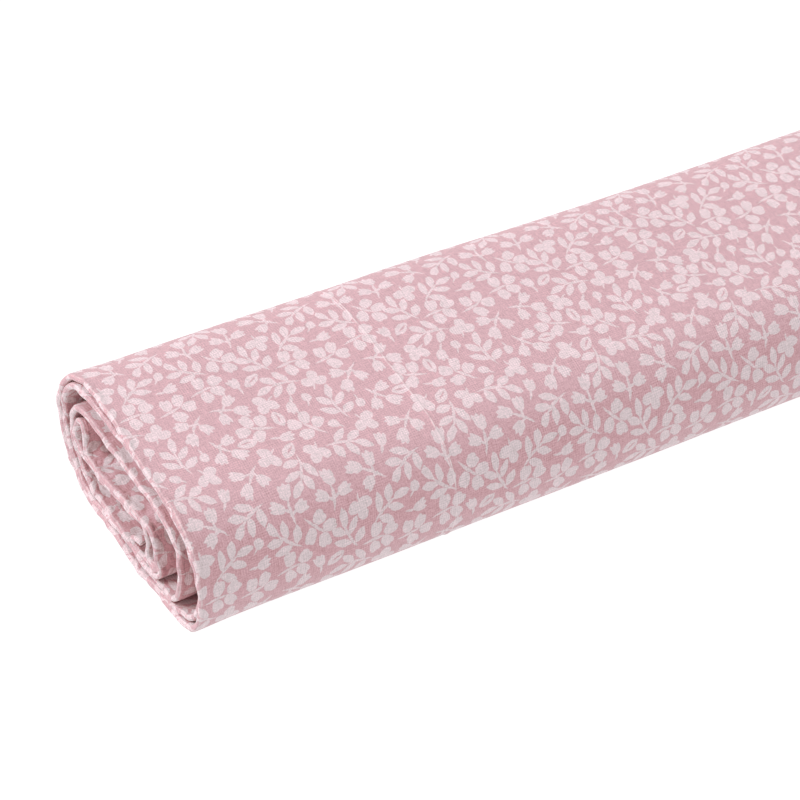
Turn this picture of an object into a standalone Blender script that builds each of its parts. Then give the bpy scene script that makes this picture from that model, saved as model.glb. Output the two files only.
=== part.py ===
"""Roll of quilting cotton: one length of cloth, folded in half along its width and rolled flat.

Row frame: metres, +Z up, +X along the roll with the folded edge at -X, -Y the front face.
The origin is the centre of the roll's footprint on the floor.
"""

import math

import bpy
import numpy as np

MM = 0.001
ROLL_LENGTH = 0.560
CLOTH_THICKNESS = 1.3 * MM
PANEL_GAP = 0.3 * MM
EDGE_ROUND = 0.35 * MM
STEPS = 2
SECTION_CENTRE = (40.5, 0.03)
HINGE_OFFSET = 0.9 * MM

# The path of the doubled cloth in the roll's cross-section, in millimetres, from the free
# end under the roll to the innermost end. Each list runs on from the one before it.
# First number: towards the back. Second number: up.
TAIL = [
    (45.5, 1.7), (42, 1), (36, 0.7), (27, 0.7), (18, 0.7), (11.5, 0.9), (7, 1.7), (3.5, 3.5),
]
FRONT_1 = [
    (0.8, 6.3), (-1, 10.6), (-1.9, 16.5), (-1.3, 22.4), (0.7, 28.1), (4.4, 33.1), (10, 37.1),
    (18.5, 40.1), (29, 42.7), (41, 45.5), (53, 47.9), (61.5, 49), (68.2, 48.9),
]
BACK_1 = [
    (74, 47.1), (78.7, 43), (82, 37.3), (82.9, 31.8), (81.8, 25.8), (79.3, 19.2), (76, 13.8),
    (71.6, 10), (66, 7.7), (59, 6.8), (52, 6.6), (46, 5.6), (41, 4), (35.5, 2.7), (28, 2.35),
    (19, 2.4), (12.5, 2.75), (8.5, 3.7), (5.2, 5.7),
]
FRONT_2 = [
    (2.6, 8.9), (0.8, 12.6), (-0.1, 17), (0.5, 22.1), (2.5, 27.4), (6, 31.7), (11.2, 35.4),
    (19.2, 38.4), (29.4, 41), (41.4, 43.8), (53, 46.2), (61.2, 47.3), (67.2, 47),
]
BACK_2 = [
    (72.4, 45.2), (76.8, 41.2), (79.5, 36.3), (80.3, 31.8), (79.5, 26.6), (77.3, 20.4),
    (74.4, 15.3), (70.4, 11.9), (65.2, 9.7), (58.8, 8.8), (52, 8.5), (45.6, 7.6), (40, 6),
    (34.5, 4.5), (28, 4.05), (22, 4.1), (17.5, 4.6), (14.4, 6.6),
]
FRONT_3 = [
    (12.4, 10), (10.5, 14.8), (9.8, 20.5), (10.7, 25.6), (13.8, 29.2), (18.6, 31.6), (24.5, 33),
    (31, 34.2), (38.5, 35.5), (46.5, 36.9), (53, 38.4), (58.5, 39.3), (64, 39.7),
]
BACK_3 = [
    (69, 39.2), (72.7, 36.9), (75.1, 33.2), (76.2, 28.6), (75.3, 22.2), (72.3, 17.1),
    (68.6, 13.8), (64.2, 11.8), (58.4, 10.9), (52, 10.4), (45.4, 9.4), (39.6, 7.7), (34, 6.2),
    (29.5, 5.75), (26.2, 6.2),
]
FRONT_4 = [
    (24.4, 8.3), (24.6, 11.5), (25.1, 14.8), (26, 17.8), (27.8, 20.4), (31, 22), (35.5, 22.7),
    (41.5, 22.9), (47.5, 23.3), (53.5, 23.4), (59.5, 23.3), (63.8, 23.9), (66.2, 25.7),
    (67, 28.7), (66.9, 31.8),
]
BACK_4 = [
    (68.2, 34), (70.8, 33.6), (73.1, 31.4), (74.1, 28.2), (73.2, 25), (70.6, 22.9),
    (66.4, 21.6), (60, 20.9), (53.5, 20.6), (47, 20.5), (40.5, 20.4), (35.5, 20.1),
    (32.2, 18.9), (30.8, 16.4), (30.9, 13.4),
]
INNER_END = [
    (31.2, 11.4), (30, 9.9), (27.9, 9.25), (27, 8.4), (27.9, 7.5), (30.9, 7.7), (34.6, 8.5),
    (37.7, 9.5), (39.3, 10.8), (38.6, 12.1), (36.4, 12.5), (34, 12.9),
]
PANELS = [
    ("tail_flap", TAIL, (0.62, 0.36, 0.40)),
    ("turn1_front", FRONT_1, (0.66, 0.40, 0.44)),
    ("turn1_back", BACK_1, (0.64, 0.38, 0.42)),
    ("turn2_front", FRONT_2, (0.60, 0.35, 0.39)),
    ("turn2_back", BACK_2, (0.60, 0.34, 0.38)),
    ("turn3_front", FRONT_3, (0.58, 0.33, 0.37)),
    ("turn3_back", BACK_3, (0.58, 0.33, 0.37)),
    ("turn4_front", FRONT_4, (0.56, 0.32, 0.36)),
    ("turn4_back", BACK_4, (0.56, 0.31, 0.35)),
    ("inner_end", INNER_END, (0.53, 0.29, 0.33)),
]
CLOTH_ROUGHNESS = 0.9


def clear_scene():
    for old in list(bpy.data.objects):
        bpy.data.objects.remove(old, do_unlink=True)


def smooth_path(points, steps):
    """A centripetal Catmull-Rom curve through the points, with this many steps to each."""
    ends = np.vstack([2 * points[0] - points[1], points, 2 * points[-1] - points[-2]])
    samples = []
    for first in range(len(points) - 1):
        p0, p1, p2, p3 = ends[first:first + 4]
        t1 = np.linalg.norm(p1 - p0) ** 0.5
        t2 = t1 + np.linalg.norm(p2 - p1) ** 0.5
        t3 = t2 + np.linalg.norm(p3 - p2) ** 0.5
        for step in range(steps):
            t = t1 + (t2 - t1) * step / steps
            a1 = ((t1 - t) * p0 + t * p1) / t1
            a2 = ((t2 - t) * p1 + (t - t1) * p2) / (t2 - t1)
            a3 = ((t3 - t) * p2 + (t - t2) * p3) / (t3 - t2)
            b1 = ((t2 - t) * a1 + t * a2) / t2
            b2 = ((t3 - t) * a2 + (t - t1) * a3) / (t3 - t1)
            samples.append(((t2 - t) * b1 + (t - t1) * b2) / (t2 - t1))
    samples.append(points[-1])
    return np.array(samples)


def shortened(line, gap):
    """The line with half a gap taken off at each end."""
    along = np.concatenate([[0], np.cumsum(np.linalg.norm(np.diff(line, axis=0), axis=1))])
    kept = along[(along > gap) & (along < along[-1] - gap)]
    places = np.concatenate([[gap / 2], kept, [along[-1] - gap / 2]])
    return np.stack([np.interp(places, along, line[:, k]) for k in (0, 1)], axis=1)


def cloth_material(name, colour):
    material = bpy.data.materials.new("cloth_" + name)
    material.use_nodes = True
    shader = material.node_tree.nodes["Principled BSDF"]
    shader.inputs["Base Color"].default_value = (*colour, 1)
    shader.inputs["Roughness"].default_value = CLOTH_ROUGHNESS
    shader.inputs["Metallic"].default_value = 0
    return material


def cloth_panel(name, line, origin, colour, collection):
    """A strip of doubled cloth that follows the line and runs the length of the roll."""
    curve = bpy.data.curves.new(name, "CURVE")
    curve.dimensions = "3D"
    curve.extrude = ROLL_LENGTH / 2
    spline = curve.splines.new("POLY")
    spline.points.add(len(line) - 1)
    for point, place in zip(spline.points, line - origin):
        point.co = (place[0], place[1], 0, 1)
    ribbon = bpy.data.objects.new(name + "_path", curve)
    mesh = bpy.data.meshes.new_from_object(ribbon)
    bpy.data.objects.remove(ribbon)
    mesh.name = name
    panel = bpy.data.objects.new(name, mesh)
    collection.objects.link(panel)
    panel.location = (0, origin[0], origin[1])
    panel.rotation_euler = (math.pi / 2, 0, math.pi / 2)
    thicken = panel.modifiers.new("doubled_cloth", "SOLIDIFY")
    thicken.thickness = CLOTH_THICKNESS
    thicken.offset = 0
    thicken.use_even_offset = True
    rounded = panel.modifiers.new("rounded_edges", "BEVEL")
    rounded.width = EDGE_ROUND
    rounded.segments = 2
    rounded.limit_method = "ANGLE"
    rounded.angle_limit = math.radians(50)
    mesh.materials.clear()
    mesh.materials.append(cloth_material(name, colour))
    return panel


def hinge_place(line):
    """A point just outside the cloth where the tail leaves the front face."""
    run = line[-1] - line[-2]
    run /= np.linalg.norm(run)
    outward = np.array([-run[1], run[0]])
    if outward[1] > 0:
        outward = -outward
    return line[-1] + outward * HINGE_OFFSET


def build():
    clear_scene()
    collection = bpy.data.collections.new("fabric_roll")
    bpy.context.scene.collection.children.link(collection)
    centre = np.array(SECTION_CENTRE)
    path = np.concatenate([np.array(points, float) for _, points, _ in PANELS])
    samples = smooth_path((path - centre) * MM, STEPS)
    last = -1
    for name, points, colour in PANELS:
        first = max(last, 0)
        last += len(points)
        line = samples[first * STEPS:last * STEPS + 1]
        origin = hinge_place(line) if name == "tail_flap" else line[0]
        cloth_panel(name, shortened(line, PANEL_GAP), origin, colour, collection)


build()
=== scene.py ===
"""A roll of printed quilting cotton: one cloth folded in half along its width and rolled flat."""

import math

import bpy
import numpy as np
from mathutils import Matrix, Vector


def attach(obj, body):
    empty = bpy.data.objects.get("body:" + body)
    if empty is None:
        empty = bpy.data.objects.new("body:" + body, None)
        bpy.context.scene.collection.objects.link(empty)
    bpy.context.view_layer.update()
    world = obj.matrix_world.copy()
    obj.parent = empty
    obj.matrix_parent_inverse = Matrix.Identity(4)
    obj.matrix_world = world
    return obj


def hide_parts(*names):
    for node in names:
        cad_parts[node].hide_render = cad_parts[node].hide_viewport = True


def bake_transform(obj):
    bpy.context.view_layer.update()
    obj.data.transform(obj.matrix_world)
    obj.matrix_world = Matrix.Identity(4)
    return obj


MM = 0.001
NODES = ["turn%d_%s" % (turn, side) for turn in range(1, 5) for side in ("front", "back")] + ["inner_end"]

# The path of the doubled cloth in the roll's cross-section, in millimetres, as in the CAD: first
# number towards the back, second number up. The free end lies under the roll.
SECTION_CENTRE = (40.5, 0.03)
TAIL = [
    (45.5, 1.7), (42, 1), (36, 0.7), (27, 0.7), (18, 0.7), (11.5, 0.9), (7, 1.7), (3.5, 3.5),
]
FRONT_1 = [
    (0.8, 6.3), (-1, 10.6), (-1.9, 16.5), (-1.3, 22.4), (0.7, 28.1), (4.4, 33.1), (10, 37.1),
    (18.5, 40.1), (29, 42.7), (41, 45.5), (53, 47.9), (61.5, 49), (68.2, 48.9),
]
BACK_1 = [
    (74, 47.1), (78.7, 43), (82, 37.3), (82.9, 31.8), (81.8, 25.8), (79.3, 19.2), (76, 13.8),
    (71.6, 10), (66, 7.7), (59, 6.8), (52, 6.6), (46, 5.6), (41, 4), (35.5, 2.7), (28, 2.35),
    (19, 2.4), (12.5, 2.75), (8.5, 3.7), (5.2, 5.7),
]
FRONT_2 = [
    (2.6, 8.9), (0.8, 12.6), (-0.1, 17), (0.5, 22.1), (2.5, 27.4), (6, 31.7), (11.2, 35.4),
    (19.2, 38.4), (29.4, 41), (41.4, 43.8), (53, 46.2), (61.2, 47.3), (67.2, 47),
]
BACK_2 = [
    (72.4, 45.2), (76.8, 41.2), (79.5, 36.3), (80.3, 31.8), (79.5, 26.6), (77.3, 20.4),
    (74.4, 15.3), (70.4, 11.9), (65.2, 9.7), (58.8, 8.8), (52, 8.5), (45.6, 7.6), (40, 6),
    (34.5, 4.5), (28, 4.05), (22, 4.1), (17.5, 4.6), (14.4, 6.6),
]
FRONT_3 = [
    (12.4, 10), (10.5, 14.8), (9.8, 20.5), (10.7, 25.6), (13.8, 29.2), (18.6, 31.6), (24.5, 33),
    (31, 34.2), (38.5, 35.5), (46.5, 36.9), (53, 38.4), (58.5, 39.3), (64, 39.7),
]
BACK_3 = [
    (69, 39.2), (72.7, 36.9), (75.1, 33.2), (76.2, 28.6), (75.3, 22.2), (72.3, 17.1),
    (68.6, 13.8), (64.2, 11.8), (58.4, 10.9), (52, 10.4), (45.4, 9.4), (39.6, 7.7), (34, 6.2),
    (29.5, 5.75), (26.2, 6.2),
]
FRONT_4 = [
    (24.4, 8.3), (24.6, 11.5), (25.1, 14.8), (26, 17.8), (27.8, 20.4), (31, 22), (35.5, 22.7),
    (41.5, 22.9), (47.5, 23.3), (53.5, 23.4), (59.5, 23.3), (63.8, 23.9), (66.2, 25.7),
    (67, 28.7), (66.9, 31.8),
]
BACK_4 = [
    (68.2, 34), (70.8, 33.6), (73.1, 31.4), (74.1, 28.2), (73.2, 25), (70.6, 22.9),
    (66.4, 21.6), (60, 20.9), (53.5, 20.6), (47, 20.5), (40.5, 20.4), (35.5, 20.1),
    (32.2, 18.9), (30.8, 16.4), (30.9, 13.4),
]
INNER_END = [
    (31.2, 11.4), (30, 9.9), (27.9, 9.25), (27, 8.4), (27.9, 7.5), (30.9, 7.7), (34.6, 8.5),
    (37.7, 9.5), (39.3, 10.8), (38.6, 12.1), (36.4, 12.5), (34, 12.9),
]
WRAPS = [
    FRONT_1, BACK_1, FRONT_2, BACK_2, FRONT_3, BACK_3, FRONT_4, BACK_4, INNER_END,
]

# The cloth, in metres. It is folded in half along its width, and the fold is the roll's near end.
HALF_WIDTH = 0.560
CLOTH = 0.30 * MM
PLY_OFFSET = 0.40 * MM
FOLD_RADIUS = 0.58 * MM
FULL_FOLD = 0.86 * MM
FOLD_REACH = 9 * MM
CREASE_AT = 84 * MM
CREASE_HEIGHT = 0.24 * MM
CREASE_WIDTH = 0.36 * MM

# Places on the path closer than SAME_LAYER, along it, belong to one layer. A fold that fills the room
# up to the next layer stops CLEARANCE short of halfway. Its radius is evened out over some samples.
SAME_LAYER = 5 * MM
CLEARANCE = 0.20 * MM
PATH_STEPS = 12
TURN_SAMPLES = 5
ROOM_SAMPLES = 9
FOLD_SAMPLES = 12

# Over its last stretch the innermost end closes: its fold and its plies lose these shares.
SHUT_REACH = 6 * MM
SHUT_FOLD = 0.68
SHUT_PLIES = 0.55

# Waves of the cloth. Each is a length in metres, a shift in radians and an amplitude in metres.
EDGE_WAVES = ((0.061, 0.4, 0.35 * MM), (0.147, 2.0, 0.45 * MM), (0.017, 1.0, 0.12 * MM))
SHORT_EDGE_WAVES = ((0.0093, 0.3, 0.13 * MM), (0.0067, 2.1, 0.08 * MM))
EDGE_SHIFT = 0.25 * MM
EDGE_FADE = 0.12
FAR_EDGE_WAVES = ((0.093, 1.3, 0.5 * MM), (0.031, 0, 0.25 * MM))
FAR_EDGE_SHORT = 0.7 * MM
FAR_START = 0.40
FAR_REACH = 0.16
PLY_SHIFT = 0.3
RUCK_WAVES = ((0.013, 0.7, 0.38 * MM), (0.0083, 2.2, 0.20 * MM))
CROSS_RUCK_WAVES = ((0.0115, 1.1, 0.22 * MM),)
RUCK_GROWS = 0.02
RUCK_REACH = 0.055
SWELL_WAVES = ((0.233, 0.5, 0.35 * MM), (0.127, 1.9, 0.16 * MM))
CROSS_SWELL_WAVES = ((0.081, 0.2, 0.10 * MM),)
SWELL_CENTRE = 0.025
SWELL_FLOOR = 0.012
SWELL_START = -0.29
SWELL_GROWS = 0.06
SWELL_LEAST = 0.25

# The mesh: rows round the roll, closer where the path bends, and columns by their distance from the
# fold, closer at the fold, at the crease and at the far edge.
ROW_SPACING = 2.85 * MM
ROW_TURN = math.radians(9)
COLUMNS_MM = [
    0, 0.22, 0.45, 0.68, 0.91, 1.3, 2, 3.2, 5, 8, 12, 18, 27, 38, 50, 63, 74, 80, 82.6, 83.3, 83.65,
    84, 84.35, 84.7, 85.4, 88, 96, 110, 128, 154, 180, 207, 234, 260, 287, 314, 340, 367, 394, 420,
    447, 474, 500, 520, 536, 548, 555, 558.5, 560,
]

# The print, in millimetres. It repeats every 50.8 along the roll and every 63.5 round it.
TILE = (63.5, 50.8)
MOTIF_SIZE = 1.1
PRINT_WOBBLE = 0.62

# The layout. Motifs push each other apart over a reach that shrinks from its first to its last
# value, and two of a kind keep a wider distance, both in millimetres.
LAYOUT_SEED = 30
LAYOUT_STEPS = 220
FIRST_REACH = 2.6
LAST_REACH = 0.55
KIND_DISTANCE = 12
KIND_PUSH = 0.25
MOVE_SHARE = 0.8
FIRST_MOVE = 0.9
LAST_MOVE = 0.08
MOST_SPIN = 0.14

# The weave: thread spacings in metres, noise scales per metre, and contrasts of the tone.
WARP_PITCH = 0.36 * MM
WEFT_PITCH = 0.40 * MM
WARP_SCALE = (330, 2500, 0)
WEFT_SCALE = (2700, 360, 0)
FUZZ_SCALE = 2300
CLOUD_SCALE = 26
THREAD_CONTRAST = 0.36
FUZZ_CONTRAST = 0.56
# Painted shade: the weave's tone is darker where the threads dip between pillows.
PILLOW_SHADE_CONTRAST = 0.07
PILLOW_MEAN = 9 / 14
CLOUD_CONTRAST = 0.07
RIB_SCALE = 4500
CROSS_RIB_SCALE = 4100
RIB_PATCH_SCALE = 48

GROUND = (0.588, 0.321, 0.364, 1)
MOTIF = (0.715, 0.560, 0.592, 1)
WRONG_GROUND = (0.70, 0.52, 0.55, 1)
WRONG_MOTIF = (0.78, 0.64, 0.66, 1)
# Paler colour along the fold's two edges and the crease: partly dye worn pale, partly a painted highlight.
WORN_AND_HIGHLIT = (0.90, 0.76, 0.77, 1)
THREAD_ENDS = ((0.60, 0.38, 0.42, 1), (0.86, 0.74, 0.75, 1))

# The studio, in metres and watts.
FLOOR_HALF = 30
FLOOR_GLOW = 1.12
WORLD_STRENGTH = 0.712
CAMERA_PLACE = (-0.5603, -0.5948, 0.5165)
CAMERA_TURN = (math.radians(55), 0, math.radians(-32))
LENS_MM = 129.8
WHITE_LEVEL = 1.15
SHOULDER = ((0.196, 0.225), (0.391, 0.45), (0.696, 0.70))
WARM_SHADE = ((0.15, 0.138), (0.28, 0.264), (0.40, 0.390), (0.52, 0.517), (0.75, 0.75))


def smooth_path(points, steps):
    """A centripetal Catmull-Rom curve through the points, with this many steps to each."""
    ends = np.vstack([2 * points[0] - points[1], points, 2 * points[-1] - points[-2]])
    samples = []
    for first in range(len(points) - 1):
        p0, p1, p2, p3 = ends[first:first + 4]
        t1 = np.linalg.norm(p1 - p0) ** 0.5
        t2 = t1 + np.linalg.norm(p2 - p1) ** 0.5
        t3 = t2 + np.linalg.norm(p3 - p2) ** 0.5
        for step in range(steps):
            t = t1 + (t2 - t1) * step / steps
            a1 = ((t1 - t) * p0 + t * p1) / t1
            a2 = ((t2 - t) * p1 + (t - t1) * p2) / (t2 - t1)
            a3 = ((t3 - t) * p2 + (t - t2) * p3) / (t3 - t2)
            b1 = ((t2 - t) * a1 + t * a2) / t2
            b2 = ((t3 - t) * a2 + (t - t1) * a3) / (t3 - t1)
            samples.append(((t2 - t) * b1 + (t - t1) * b2) / (t2 - t1))
    samples.append(points[-1])
    return np.array(samples)


def softened(values, width):
    """A running mean along the first axis, with the two ends kept in place."""
    first, last = np.repeat(values[:1], width, 0), np.repeat(values[-1:], width, 0)
    padded = np.concatenate([first, values, last])
    window = np.hanning(2 * width + 3)[1:-1]
    window /= window.sum()
    return np.stack([np.convolve(padded[:, k], window, "valid") for k in range(values.shape[1])], 1)


class Path:
    """The cloth's whole line in the section, with its arc length and outward direction."""

    def __init__(self):
        points = np.array(TAIL + [p for wrap in WRAPS for p in wrap], float)
        self.line = smooth_path((points - np.array(SECTION_CENTRE)) * MM, PATH_STEPS)
        self.seam = (len(TAIL) - 1) * PATH_STEPS
        inner = (len(FRONT_4) + len(BACK_4) + len(INNER_END)) * PATH_STEPS
        run = np.gradient(self.line, axis=0)
        run /= np.linalg.norm(run, axis=1)[:, None]
        run = softened(run, TURN_SAMPLES)
        run /= np.linalg.norm(run, axis=1)[:, None]
        self.out = np.stack([-run[:, 1], run[:, 0]], 1)
        steps = np.linalg.norm(np.diff(self.line, axis=0), axis=1)
        self.along = np.concatenate([[0], np.cumsum(steps)])
        self.slack = self.along[-inner]
        self.fold = self.room()
        angle = np.unwrap(np.arctan2(run[:, 1], run[:, 0]))
        self.cost = np.concatenate([[0], np.cumsum(
            np.diff(self.along) / ROW_SPACING + np.abs(np.diff(angle)) / ROW_TURN)])

    def room(self):
        """The fold's radius along the path: it is fuller where the next layer leaves room for it."""
        apart = np.linalg.norm(self.line[:, None] - self.line[None], axis=2)
        apart[np.abs(self.along[:, None] - self.along[None]) < SAME_LAYER] = 1
        radius = np.clip(0.5 * apart.min(axis=1) - CLEARANCE, FOLD_RADIUS, FULL_FOLD)
        radius = np.minimum(radius, np.roll(radius, ROOM_SAMPLES))
        radius = np.minimum(radius, np.roll(radius, -ROOM_SAMPLES))
        return softened(radius[:, None], FOLD_SAMPLES)[:, 0]

    def rows(self, first, last):
        """Arc lengths of the rows between two samples, closer together where the line bends."""
        start, stop = self.cost[first], self.cost[last]
        places = np.linspace(start, stop, int(math.ceil(stop - start)) + 1)
        return np.interp(places, self.cost, self.along)

    def at(self, s):
        """The points and the outward directions at these arc lengths."""
        point = np.stack([np.interp(s, self.along, self.line[:, k]) for k in (0, 1)], -1)
        out = np.stack([np.interp(s, self.along, self.out[:, k]) for k in (0, 1)], -1)
        return point, out / np.linalg.norm(out, axis=-1)[..., None]


def slow_wave(x, *waves):
    """A sum of sines: each wave is a length, a shift and an amplitude."""
    return sum(size * np.sin(2 * np.pi * x / length + shift) for length, shift, size in waves)


def folded(path, s, w):
    """The doubled cloth in its fold, at arc lengths s and at distances w from the fold: x, y and z."""
    a = np.abs(w)
    shut = np.clip((s - path.along[-1]) / SHUT_REACH + 1, 0, 1)[:, None]
    radius = np.interp(s, path.along, path.fold)[:, None] * (1 - SHUT_FOLD * shut)
    ply = PLY_OFFSET * (1 - SHUT_PLIES * shut)
    quarter = radius * math.pi / 2
    phi = np.minimum(a / radius, math.pi / 2)
    x = -HALF_WIDTH / 2 + radius * (1 - np.cos(phi)) + np.maximum(0, a - quarter)
    open_by = ply + (radius - ply) * np.exp(-((a - quarter).clip(0) / FOLD_REACH) ** 2)
    off_line = np.sign(w) * np.where(a < quarter, radius * np.sin(phi), open_by)
    off_line = off_line + CREASE_HEIGHT * np.exp(-((a - CREASE_AT) / CREASE_WIDTH) ** 2)
    edge = slow_wave(s, *EDGE_WAVES)
    edge += EDGE_SHIFT + slow_wave(s, *SHORT_EDGE_WAVES)
    x = x + edge[:, None] * np.exp(-a / EDGE_FADE)[None, :]
    far = np.clip((a - FAR_START) / FAR_REACH, 0, 1) ** 2
    far_edge = slow_wave(s[:, None] + PLY_SHIFT * np.sign(w)[None, :], *FAR_EDGE_WAVES)
    x = x + far[None, :] * (far_edge - FAR_EDGE_SHORT)
    point, out = path.at(s)
    return x, point[:, :1] + out[:, :1] * off_line, point[:, 1:] + out[:, 1:] * off_line


def rucked(path, s, x, y, z):
    """The slack inner turns ruck near the fold."""
    out = path.at(s)[1]
    slack = np.clip((s - path.slack) / RUCK_GROWS, 0, 1)[:, None]
    slack = slack * np.exp(-((x + HALF_WIDTH / 2) / RUCK_REACH) ** 2)
    ruck = slow_wave(x + 0.9 * y + 0.3 * z, *RUCK_WAVES)
    ruck = (ruck + slow_wave(y - 0.5 * x, *CROSS_RUCK_WAVES)) * slack
    return y + ruck * out[:, :1], z + ruck * out[:, 1:]


def swollen(x, y, z):
    """One slow swell for the whole roll, so that its layers move together, and none at the floor."""
    up = z - SWELL_CENTRE
    reach = np.sqrt(y ** 2 + up ** 2) + 1e-6
    swell = slow_wave(x + 0.35 * y, *SWELL_WAVES)
    swell = swell + slow_wave(x - 1.4 * z, *CROSS_SWELL_WAVES)
    swell = swell * np.clip(z / SWELL_FLOOR, 0, 1) * np.clip((x - SWELL_START) / SWELL_GROWS, SWELL_LEAST, 1)
    return y + swell * y / reach, z + swell * up / reach


def grid_mesh(name, x, y, z, s, u):
    """A sheet through a grid of points, with s and u in metres as its UV coordinates."""
    vertices = np.stack([x, y, z], -1).reshape(-1, 3)
    index = np.arange(x.size).reshape(x.shape)
    corners = (index[:-1, :-1], index[1:, :-1], index[1:, 1:], index[:-1, 1:])
    faces = np.stack(corners, -1).reshape(-1, 4)
    mesh = bpy.data.meshes.new(name)
    mesh.from_pydata(vertices.tolist(), [], faces.tolist())
    layer = mesh.uv_layers.new(name="cloth")
    loops = np.empty(len(mesh.loops), int)
    mesh.loops.foreach_get("vertex_index", loops)
    uv = np.stack(np.broadcast_arrays(s[:, None], u[None, :]), -1).reshape(-1, 2)[loops]
    layer.data.foreach_set("uv", uv.astype(np.float32).ravel())
    mesh.polygons.foreach_set("use_smooth", [True] * len(mesh.polygons))
    return mesh


def cloth_piece(name, path, first, last, materials):
    """A stretch of the folded cloth as one sheet, from one sample of the path to another."""
    s = path.rows(first, last)
    half = np.array(COLUMNS_MM) * MM
    w = np.concatenate([half[::-1], -half[1:]])
    x, y, z = folded(path, s, w)
    y, z = rucked(path, s, x, y, z)
    y, z = swollen(x, y, z)
    mesh = grid_mesh(name, x, y, z, s, HALF_WIDTH - w)
    piece = bpy.data.objects.new(name, mesh)
    bpy.context.scene.collection.objects.link(piece)
    for material in materials:
        mesh.materials.append(material)
    thick = piece.modifiers.new("thickness", "SOLIDIFY")
    thick.thickness = CLOTH
    thick.offset = 0
    thick.use_even_offset = False
    thick.material_offset = 1
    thick.material_offset_rim = 2
    return piece


class Net:
    """Adds shader nodes one after another, in the order in which they are needed."""

    def __init__(self, tree):
        self.tree = tree
        tree.nodes.clear()

    def add(self, kind, *values, **settings):
        node = self.tree.nodes.new(kind)
        for key, value in settings.items():
            setattr(node, key, value)
        for socket, value in zip([i for i in node.inputs if i.enabled], values):
            self.give(socket, value)
        return node

    def give(self, socket, value):
        if value is None:
            return
        if isinstance(value, bpy.types.NodeSocket):
            self.tree.links.new(value, socket)
        else:
            socket.default_value = value

    def math(self, operation, *values, clamp=False):
        return self.add("ShaderNodeMath", *values, operation=operation, use_clamp=clamp).outputs[0]

    def vector(self, operation, *values):
        node = self.add("ShaderNodeVectorMath", *values, operation=operation)
        return next(o for o in node.outputs if o.enabled)

    def place(self, vector, x=0, y=0, turn=0, sx=1, sy=1):
        """The vector as seen from a motif that lies at x, y, turned and scaled."""
        return self.add("ShaderNodeMapping", vector, (x, y, 0), (0, 0, turn), (sx, sy, 1),
                        vector_type="TEXTURE").outputs[0]

    def mix(self, factor, a, b, kind="RGBA", blend="MIX"):
        node = self.add("ShaderNodeMix", data_type=kind)
        if kind == "RGBA":
            node.blend_type = blend
        inputs = [i for i in node.inputs if i.enabled]
        for socket, value in zip(inputs, (factor, a, b)):
            self.give(socket, value)
        return next(o for o in node.outputs if o.enabled)

    def noise(self, vector, scale, detail=2.0, roughness=0.5, out=0):
        node = self.add("ShaderNodeTexNoise", noise_dimensions="2D")
        self.give(node.inputs["Vector"], vector)
        node.inputs["Scale"].default_value = scale
        node.inputs["Detail"].default_value = detail
        node.inputs["Roughness"].default_value = roughness
        return node.outputs[out]

    def ramp(self, value, low, high, to_low=0.0, to_high=1.0):
        return self.add("ShaderNodeMapRange", value, low, high, to_low, to_high,
                        interpolation_type="SMOOTHSTEP").outputs[0]

    def varied(self, tone, pattern, contrast, mean):
        """The tone with a pattern added about the pattern's own mean."""
        return self.math("MULTIPLY_ADD", pattern, contrast, self.math("SUBTRACT", tone, contrast * mean))

    def bump(self, height, strength, distance, normal=None):
        node = self.add("ShaderNodeBump")
        node.inputs["Strength"].default_value = strength
        node.inputs["Distance"].default_value = distance
        self.give(node.inputs["Height"], height)
        self.give(node.inputs["Normal"], normal)
        return node.outputs[0]

    def surface(self, colour, roughness, normal):
        """A Principled shader on the material's output."""
        shader = self.add("ShaderNodeBsdfPrincipled")
        self.give(shader.inputs["Base Color"], colour)
        self.give(shader.inputs["Roughness"], roughness)
        self.give(shader.inputs["Normal"], normal)
        self.add("ShaderNodeOutputMaterial", shader.outputs[0])
        return shader


# Each motif is a few blades: kind, x, y, turn in degrees, half length and half width. A "leaf" is
# pointed at both ends, an "oval" is round, a "stem" is a thin leaf, and a "slit" is cut out.
def turned(x, y, turn, size, parts):
    """The parts as they lie when their own origin is at x, y and they are turned and scaled."""
    c, s = math.cos(math.radians(turn)), math.sin(math.radians(turn))
    return [(kind, x + size * (px * c - py * s), y + size * (px * s + py * c), turn + lean,
             size * length, size * width) for kind, px, py, lean, length, width in parts]


def tulip(x, y, turn, size=1.0):
    """A small blossom with three teeth. Its foot is at x, y."""
    return turned(x, y, turn, size, [
        ("oval", 1.75, 0.0, 0, 1.85, 1.45), ("leaf", 2.35, 0.85, 20, 1.5, 0.68),
        ("leaf", 2.6, 0.0, 0, 1.6, 0.7), ("leaf", 2.35, -0.85, -20, 1.5, 0.68),
    ])


def petal(x, y, turn, size=1.0):
    """A broad petal with a shallow notch at its tip. Its foot is at x, y."""
    return turned(x, y, turn, size, [
        ("oval", 2.05, 0.44, 9, 2.1, 1.22), ("oval", 2.0, -0.46, -9, 2.05, 1.2),
    ])


def leaf(x, y, turn, size=1.0):
    """A pointed leaf. Its foot is at x, y."""
    return turned(x, y, turn, size, [("leaf", 2.55, 0, 0, 2.6, 1.15)])


def centred(parts):
    """The parts moved so that their outer limits lie evenly about the origin."""
    lean = [math.radians(part[3]) for part in parts]
    mid = []
    for k, turn in ((1, math.cos), (2, math.sin)):
        reach = [abs(turn(angle)) * part[4] for angle, part in zip(lean, parts)]
        mid.append((min(part[k] - r for part, r in zip(parts, reach))
                    + max(part[k] + r for part, r in zip(parts, reach))) / 2)
    return [(kind, x - mid[0], y - mid[1], *rest) for kind, x, y, *rest in parts]


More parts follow.
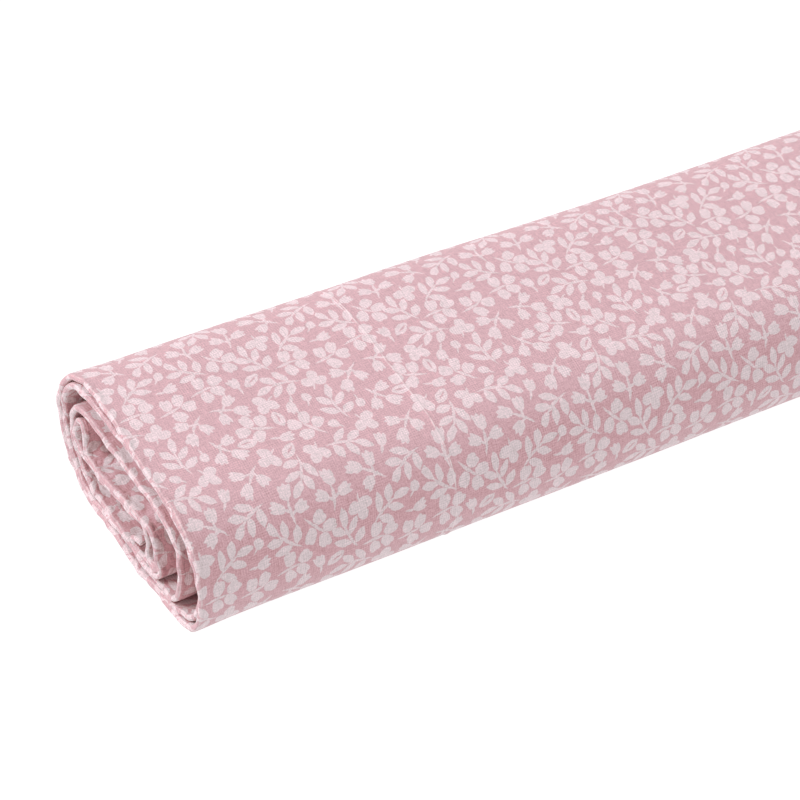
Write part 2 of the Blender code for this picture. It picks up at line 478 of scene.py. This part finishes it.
# How many of each motif the repeat holds, how much it bends along its length, and its blades.
MOTIFS = {
    "trefoil": (6, 0.0, [
        ("oval", -1.75, 0.75, 18, 1.95, 1.45), ("oval", 1.75, 0.85, -14, 1.95, 1.5),
        ("oval", 0.05, -1.35, 90, 1.85, 1.5), ("stem", 0.5, 2.6, 75, 1.3, 0.28),
    ]),
    "leaf_sprig": (8, 0.028, leaf(-2.6, 0.4, 58) + leaf(-1.9, -0.4, -52) + leaf(0.8, 0.4, 47, 0.95)
                   + leaf(1.5, -0.35, -44, 0.98) + leaf(3.2, 0.1, 3) + [("stem", -0.2, 0.0, 0, 4.6, 0.42)]),
    "petal_sprig": (6, 0.018, petal(-1.7, 0.7, 72, 0.95) + petal(-1.4, -0.75, -68) + petal(1.1, 0.6, 44, 0.97)
                    + petal(1.9, -0.5, -34) + [("stem", -1.3, 0.0, 0, 3.7, 0.44)]),
    "blossoms": (7, -0.026, tulip(2.1, 0.1, 4, 1.1) + tulip(-0.3, 1.5, 70) + tulip(-1.1, -1.4, -64, 0.97)
                 + [("stem", -0.9, 0.0, 0, 3.8, 0.44), ("stem", -0.8, 0.7, 62, 1.5, 0.38),
                    ("stem", -1.5, -0.6, -60, 1.5, 0.38)]),
    "slit_leaf": (4, 0.0, [("leaf", 0, 0, 0, 2.8, 1.55), ("slit", 0.3, 0.15, 4, 1.7, 0.28)]),
    "bud": (5, 0.05, tulip(-0.7, 0, 0, 0.97) + [("stem", -1.6, 0.0, 0, 1.7, 0.38)]),
    "berry": (4, 0.05, [("oval", 0.5, 0, 0, 1.5, 1.3), ("stem", -1.3, 0, 0, 1.4, 0.28)]),
}
MOTIFS = {kind: (number, bend / MOTIF_SIZE, centred(turned(0, 0, 0, MOTIF_SIZE, blades)))
          for kind, (number, bend, blades) in MOTIFS.items()}


def discs_of(blades):
    """A few circles that cover a motif: x, y and radius each."""
    spots = []
    for kind, x, y, turn, length, width in blades:
        if kind == "slit":
            continue
        c, s = math.cos(math.radians(turn)), math.sin(math.radians(turn))
        reach, thin = max(0.0, length - width), 0.66 if kind == "leaf" else 0.95
        for t in ((0, -0.75, 0.75) if kind != "stem" else (-0.95, -0.35, 0.35)):
            spots.append((x + c * reach * t, y + s * reach * t, width * (1 if t == 0 else thin)))
    kept = []
    for x, y, r in sorted(spots, key=lambda spot: -spot[2]):
        if all(math.hypot(x - kx, y - ky) > 0.95 * kr for kx, ky, kr in kept):
            kept.append((x, y, r))
    return kept


def layout():
    """Where each motif lies in the repeat: kind, x, y, turn and side. They push each other apart."""
    rng = np.random.RandomState(LAYOUT_SEED)
    kinds = [kind for kind, (number, _, _) in MOTIFS.items() for _ in range(number)]
    kinds = [kinds[i] for i in rng.permutation(len(kinds))]
    count = len(kinds)
    tile = np.array(TILE)
    grid = int(math.ceil(math.sqrt(count)))
    cells = np.array([(i % grid, i // grid) for i in range(count)]) + 0.5
    centre = (cells + rng.uniform(-0.2, 0.2, (count, 2))) / (grid, math.ceil(count / grid)) * tile
    turn = rng.uniform(0, 2 * math.pi, count)
    side = rng.choice((-1, 1), count)
    discs = [np.array(discs_of(MOTIFS[kind][2])) * (1, flip, 1) for kind, flip in zip(kinds, side)]
    owner = np.concatenate([np.full(len(d), i) for i, d in enumerate(discs)])
    discs = np.concatenate(discs)
    need = discs[:, 2][:, None] + discs[:, 2][None]
    other = (owner[:, None] != owner[None, :]).astype(float)
    mass = np.bincount(owner, discs[:, 2])
    names = sorted(set(kinds))
    kind_id = np.array([names.index(kind) for kind in kinds])
    same = (kind_id[:, None] == kind_id[None, :]) & ~np.eye(count, dtype=bool)
    for step in range(LAYOUT_STEPS):
        done = step / LAYOUT_STEPS
        reach = FIRST_REACH * (LAST_REACH / FIRST_REACH) ** done
        c, s = np.cos(turn)[owner], np.sin(turn)[owner]
        arm = np.stack([c * discs[:, 0] - s * discs[:, 1], s * discs[:, 0] + c * discs[:, 1]], 1)
        spot = centre[owner] + arm
        ax, ay = (spot[:, None, k] - spot[None, :, k] for k in (0, 1))
        ax -= tile[0] * np.round(ax / tile[0])
        ay -= tile[1] * np.round(ay / tile[1])
        far = np.sqrt(ax * ax + ay * ay) + 1e-6
        push = other * np.exp(np.minimum((need - far) / reach, 2.0)) / far
        force = np.stack([(ax * push).sum(1), (ay * push).sum(1)], 1)
        torque = arm[:, 0] * force[:, 1] - arm[:, 1] * force[:, 0]
        move = np.stack([np.bincount(owner, force[:, k], count) for k in (0, 1)], 1) / mass[:, None]
        spin = np.bincount(owner, torque, count) / mass / 10
        gap = centre[:, None] - centre[None]
        gap -= tile * np.round(gap / tile)
        dist = np.sqrt((gap ** 2).sum(-1)) + 1e-6
        keep = np.where(same, np.maximum(0, KIND_DISTANCE - dist), 0) / dist * KIND_PUSH
        move += (gap * keep[..., None]).sum(1)
        most = FIRST_MOVE * (1 - done) + LAST_MOVE
        size = np.sqrt((move ** 2).sum(1))[:, None] + 1e-9
        centre += move / size * np.minimum(size * MOVE_SHARE, most)
        turn += np.clip(spin * MOVE_SHARE, -MOST_SPIN * most, MOST_SPIN * most)
    return [(kind, *(spot % tile), angle, flip)
            for kind, spot, angle, flip in zip(kinds, centre, turn, side)]


def leaf_distance(net, where, blades):
    """How far a point lies outside the nearest of these blades, in millimetres."""
    best = None
    for kind, x, y, turn, length, width in blades:
        turn = math.radians(turn)
        if kind == "oval":
            seen = net.place(where, x, y, turn, length, width)
            value = net.math("MULTIPLY_ADD", net.vector("LENGTH", seen), width, -width)
        else:
            radius = (length ** 2 + width ** 2) / (2 * width)
            seen = net.vector("ABSOLUTE", net.place(where, x, y, turn))
            value = net.math("SUBTRACT", net.vector("DISTANCE", seen, (0, width - radius, 0)), radius)
        best = value if best is None else net.math("MINIMUM", best, value)
    return best


def print_group(placements):
    """A node group: the cloth's s and u in metres give the print's two masks, for blades and stems."""
    tree = bpy.data.node_groups.new("ditsy_print", "ShaderNodeTree")
    net = Net(tree)
    tree.interface.new_socket("Place", in_out="INPUT", socket_type="NodeSocketVector")
    tree.interface.new_socket("Blades", in_out="OUTPUT", socket_type="NodeSocketFloat")
    tree.interface.new_socket("Stems", in_out="OUTPUT", socket_type="NodeSocketFloat")
    place = tree.nodes.new("NodeGroupInput").outputs[0]
    place = net.vector("MULTIPLY", place, (1000, 1000, 0))
    wobble = net.noise(place, 0.62, 1.0, 0.5, out=1)
    wobble = net.vector("SUBTRACT", wobble, (0.5, 0.5, 0.5))
    wobble = net.vector("MULTIPLY", wobble, (PRINT_WOBBLE, PRINT_WOBBLE, 0))
    place = net.vector("ADD", place, wobble)
    blade, stem = None, None
    for kind, (_, bend, blades) in MOTIFS.items():
        near, where = None, None
        for name, x, y, turn, side in placements:
            if name != kind:
                continue
            wrapped = net.vector("WRAP", place, (x + TILE[0] / 2, y + TILE[1] / 2, 1),
                                 (x - TILE[0] / 2, y - TILE[1] / 2, -1))
            seen = net.place(wrapped, x, y, turn, 1, side)
            far = net.vector("LENGTH", seen)
            if near is None:
                near, where = far, seen
            else:
                closer = net.math("LESS_THAN", far, near)
                where = net.mix(closer, where, seen, "VECTOR")
                near = net.math("MINIMUM", near, far)
        if bend:
            split = net.add("ShaderNodeSeparateXYZ", where)
            square = net.math("MULTIPLY", split.outputs[0], split.outputs[0])
            bent = net.math("MULTIPLY_ADD", square, -bend, split.outputs[1])
            where = net.add("ShaderNodeCombineXYZ", split.outputs[0], bent, 0.0).outputs[0]
        solid = leaf_distance(net, where, [b for b in blades if b[0] in ("leaf", "oval")])
        slits = [b for b in blades if b[0] == "slit"]
        if slits:
            inside = net.math("MULTIPLY", leaf_distance(net, where, slits), -1.0)
            solid = net.math("MAXIMUM", solid, inside)
        blade = solid if blade is None else net.math("MINIMUM", blade, solid)
        stems = [b for b in blades if b[0] == "stem"]
        if stems:
            thin = leaf_distance(net, where, stems)
            stem = thin if stem is None else net.math("MINIMUM", stem, thin)
    done = tree.nodes.new("NodeGroupOutput")
    net.tree.links.new(net.ramp(blade, 0.10, -0.08), done.inputs[0])
    net.tree.links.new(net.ramp(stem, 0.08, -0.08), done.inputs[1])
    return tree


def weave(net, uv, s, u):
    """A plain weave of small pillows with uneven threads and faint slanting ribs: tone, fuzz, height. Painted
    shade: the tone is darker where the threads dip.
    """
    across = net.math("SINE", net.math("MULTIPLY", s, math.pi / WARP_PITCH))
    along = net.math("SINE", net.math("MULTIPLY", u, math.pi / WEFT_PITCH))
    pillow_height_and_shade = net.math("POWER", net.math("ABSOLUTE", net.math("MULTIPLY", across, along)), 0.6)
    warp = net.noise(net.vector("MULTIPLY", uv, WARP_SCALE), 1.0, 1.0)
    weft = net.noise(net.vector("MULTIPLY", uv, WEFT_SCALE), 1.0, 1.0)
    threads = net.math("ADD", warp, weft)
    fuzz = net.noise(uv, FUZZ_SCALE, 1.0, 0.6)
    cloud = net.noise(uv, CLOUD_SCALE, 3.0, 0.6)
    tone = net.varied(1.0, threads, THREAD_CONTRAST, 1.0)
    tone = net.varied(tone, fuzz, FUZZ_CONTRAST, 0.5)
    # Painted shade: darker in the dips between the pillows.
    tone = net.varied(tone, pillow_height_and_shade, PILLOW_SHADE_CONTRAST, PILLOW_MEAN)
    tone = net.varied(tone, cloud, CLOUD_CONTRAST, 0.5)
    rib = net.math("SINE", net.math("MULTIPLY", net.math("ADD", s, u), RIB_SCALE))
    cross = net.math("SINE", net.math("MULTIPLY", net.math("SUBTRACT", s, u), CROSS_RIB_SCALE))
    patch = net.ramp(net.noise(uv, RIB_PATCH_SCALE, 1.0), 0.36, 0.62, 0.02, 0.12)
    tone = net.math("MULTIPLY_ADD", net.math("MULTIPLY", rib, cross), patch, tone)
    height = net.math("MULTIPLY_ADD", fuzz, 0.35, net.math("MULTIPLY_ADD", threads, 0.9, pillow_height_and_shade))
    return tone, fuzz, height


def worn_and_highlit(net, uv, a, colour, wear_and_highlight):
    """Paler along the two edges of the fold and along the crease: partly dye worn pale, partly a painted
    highlight on these raised edges.
    """
    edge = net.math("ABSOLUTE", net.math("SUBTRACT", a, 0.88 * MM))
    edge = net.ramp(edge, 0.34 * MM, 0.06 * MM)
    line = net.math("ABSOLUTE", net.math("SUBTRACT", a, CREASE_AT))
    line = net.ramp(line, 0.26 * MM, 0.05 * MM, 0.0, 1.7)
    patches = net.ramp(net.noise(uv, 330, 2.0, 0.6), 0.36, 0.60, 0.25, 1.0)
    worn_and_highlit_mask = net.math("MULTIPLY", net.math("MAXIMUM", edge, line), patches)
    # Painted highlight and worn dye: the pale colour is mixed in along the fold's edges and crease.
    return net.mix(net.math("MULTIPLY", worn_and_highlit_mask, wear_and_highlight), colour, WORN_AND_HIGHLIT)


def puckered(net, uv, s, a, slack_from):
    """The folded edge is puckered, and the slack inner turns are creased near their fold."""
    pucker = net.math("MULTIPLY", net.noise(uv, 520, 2.0, 0.55), net.ramp(a, 3.2 * MM, 0.9 * MM))
    creases = net.math("ABSOLUTE", net.math("SUBTRACT", net.noise(uv, 115, 2.0, 0.5), 0.5))
    slack = net.ramp(s, slack_from - 0.16, slack_from, 0.6, 4.0)
    slack = net.math("MULTIPLY", slack, net.ramp(a, 0.13, 0.02))
    slack = net.math("MULTIPLY", slack, net.ramp(s, 0.20, 0.26))
    return net.bump(net.math("MULTIPLY_ADD", creases, slack, pucker), 0.8, 0.8 * MM)


def cloth_material(name, group, ground, motif, stem_share, print_share, wear_and_highlight=0, slack_from=0):
    """Printed plain-weave cotton. Only when worn is it puckered, creased and paler along the fold's edges and
    crease; the paleness is partly worn dye and partly painted highlight.
    """
    material = bpy.data.materials.new(name)
    material.use_nodes = True
    net = Net(material.node_tree)
    uv = net.add("ShaderNodeUVMap", uv_map="cloth").outputs[0]
    masks = net.add("ShaderNodeGroup", uv, node_tree=group)
    split = net.add("ShaderNodeSeparateXYZ", uv)
    s, u = split.outputs[0], split.outputs[1]
    stem = net.math("MULTIPLY", masks.outputs[1], stem_share)
    ink = net.math("MULTIPLY", net.math("MAXIMUM", masks.outputs[0], stem), print_share)
    tone, fuzz, height = weave(net, uv, s, u)
    grey = net.add("ShaderNodeCombineXYZ", tone, tone, tone).outputs[0]
    colour = net.mix(1.0, net.mix(ink, ground, motif), grey, blend="MULTIPLY")
    normal = None
    if wear_and_highlight:
        a = net.math("ABSOLUTE", net.math("SUBTRACT", u, HALF_WIDTH))
        colour = worn_and_highlit(net, uv, a, colour, wear_and_highlight)
        normal = puckered(net, uv, s, a, slack_from)
    rough = net.math("MULTIPLY_ADD", fuzz, 0.12, 0.82)
    shader = net.surface(colour, rough, net.bump(height, 0.55, 0.035 * MM, normal))
    shader.inputs["Specular IOR Level"].default_value = 0.25
    shader.inputs["Sheen Weight"].default_value = 0.25
    shader.inputs["Sheen Roughness"].default_value = 0.45
    shader.inputs["Sheen Tint"].default_value = (1.0, 0.97, 0.97, 1)
    return material


def edge_material():
    """The cut edge of the cloth: pale thread ends."""
    material = bpy.data.materials.new("cotton_cut_edge")
    material.use_nodes = True
    net = Net(material.node_tree)
    uv = net.add("ShaderNodeUVMap", uv_map="cloth").outputs[0]
    ends = net.noise(uv, 2600, 1.0)
    colour = net.mix(net.ramp(ends, 0.35, 0.65), *THREAD_ENDS)
    shader = net.surface(colour, 0.95, net.bump(ends, 0.6, 0.08 * MM))
    shader.inputs["Sheen Weight"].default_value = 0.2
    return material


def area_light(name, place, aim, size, power):
    """A white rectangular light at a place, turned towards the aim."""
    light = bpy.data.lights.new(name, "AREA")
    light.shape = "RECTANGLE"
    light.size, light.size_y = size
    light.energy = power
    lamp = bpy.data.objects.new(name, light)
    bpy.context.scene.collection.objects.link(lamp)
    lamp.location = place
    away = Vector(place) - Vector(aim)
    lamp.rotation_euler = away.to_track_quat("Z", "Y").to_euler()


def studio():
    """A white floor, two broad soft lights, and the camera above the folded end."""
    mesh = bpy.data.meshes.new("floor")
    corners = [(x * FLOOR_HALF, y * FLOOR_HALF, 0) for x, y in ((-1, -1), (1, -1), (1, 1), (-1, 1))]
    mesh.from_pydata(corners, [], [(0, 1, 2, 3)])
    floor = bpy.data.objects.new("floor", mesh)
    bpy.context.scene.collection.objects.link(floor)
    white = bpy.data.materials.new("white_floor")
    white.use_nodes = True
    shader = white.node_tree.nodes["Principled BSDF"]
    shader.inputs["Base Color"].default_value = (0.08, 0.08, 0.08, 1)
    shader.inputs["Roughness"].default_value = 0.9
    shader.inputs["Emission Color"].default_value = (1, 1, 1, 1)
    shader.inputs["Emission Strength"].default_value = FLOOR_GLOW
    mesh.materials.append(white)

    world = bpy.data.worlds.new("studio")
    bpy.context.scene.world = world
    world.use_nodes = True
    world.node_tree.nodes["Background"].inputs[0].default_value = (1, 1, 1, 1)
    world.node_tree.nodes["Background"].inputs[1].default_value = WORLD_STRENGTH
    area_light("overhead", (0.55, 0.10, 1.5), (0.1, 0, 0.02), (2.2, 1.8), 6.5)
    area_light("end_fill", (-2.2, 0.95, 2.2), (-0.2, 0, 0.02), (2.0, 2.0), 91)

    camera = bpy.data.cameras.new("camera")
    camera.lens = LENS_MM
    camera.sensor_width = 36
    view = bpy.data.objects.new("camera", camera)
    bpy.context.scene.collection.objects.link(view)
    view.location = CAMERA_PLACE
    view.rotation_euler = CAMERA_TURN
    bpy.context.scene.camera = view
    look = bpy.context.scene.view_settings
    look.view_transform = "Standard"
    # A soft shoulder, as a camera has: the lit top is compressed towards white. The blue curve warms
    # the shade a little.
    look.use_curve_mapping = True
    tone = look.curve_mapping
    tone.white_level = (WHITE_LEVEL, WHITE_LEVEL, WHITE_LEVEL)
    for place, value in SHOULDER:
        tone.curves[3].points.new(place, value)
    for place, value in WARM_SHADE:
        tone.curves[2].points.new(place, value)
    tone.update()


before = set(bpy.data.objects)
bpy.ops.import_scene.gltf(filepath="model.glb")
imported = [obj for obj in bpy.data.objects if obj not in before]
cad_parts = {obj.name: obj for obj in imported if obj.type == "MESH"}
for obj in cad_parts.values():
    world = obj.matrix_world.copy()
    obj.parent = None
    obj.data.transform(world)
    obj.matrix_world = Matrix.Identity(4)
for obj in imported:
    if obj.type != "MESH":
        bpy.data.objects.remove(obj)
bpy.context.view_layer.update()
studio()
group = print_group(layout())
path = Path()
materials = (
    # 0.45 is the strength of the fold's worn dye and painted highlight.
    cloth_material("cotton_print", group, GROUND, MOTIF, 0.95, 1.0, 0.45, path.slack),
    cloth_material("cotton_wrong_side", group, WRONG_GROUND, WRONG_MOTIF, 0.5, 0.7),
    edge_material(),
)

free_end = cloth_piece("cloth_free_end", path, 0, path.seam, materials)
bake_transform(free_end)
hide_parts("tail_flap")
roll = cloth_piece("cloth_roll", path, path.seam, len(path.line) - 1, materials)
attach(roll, "roll")
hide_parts(*NODES)
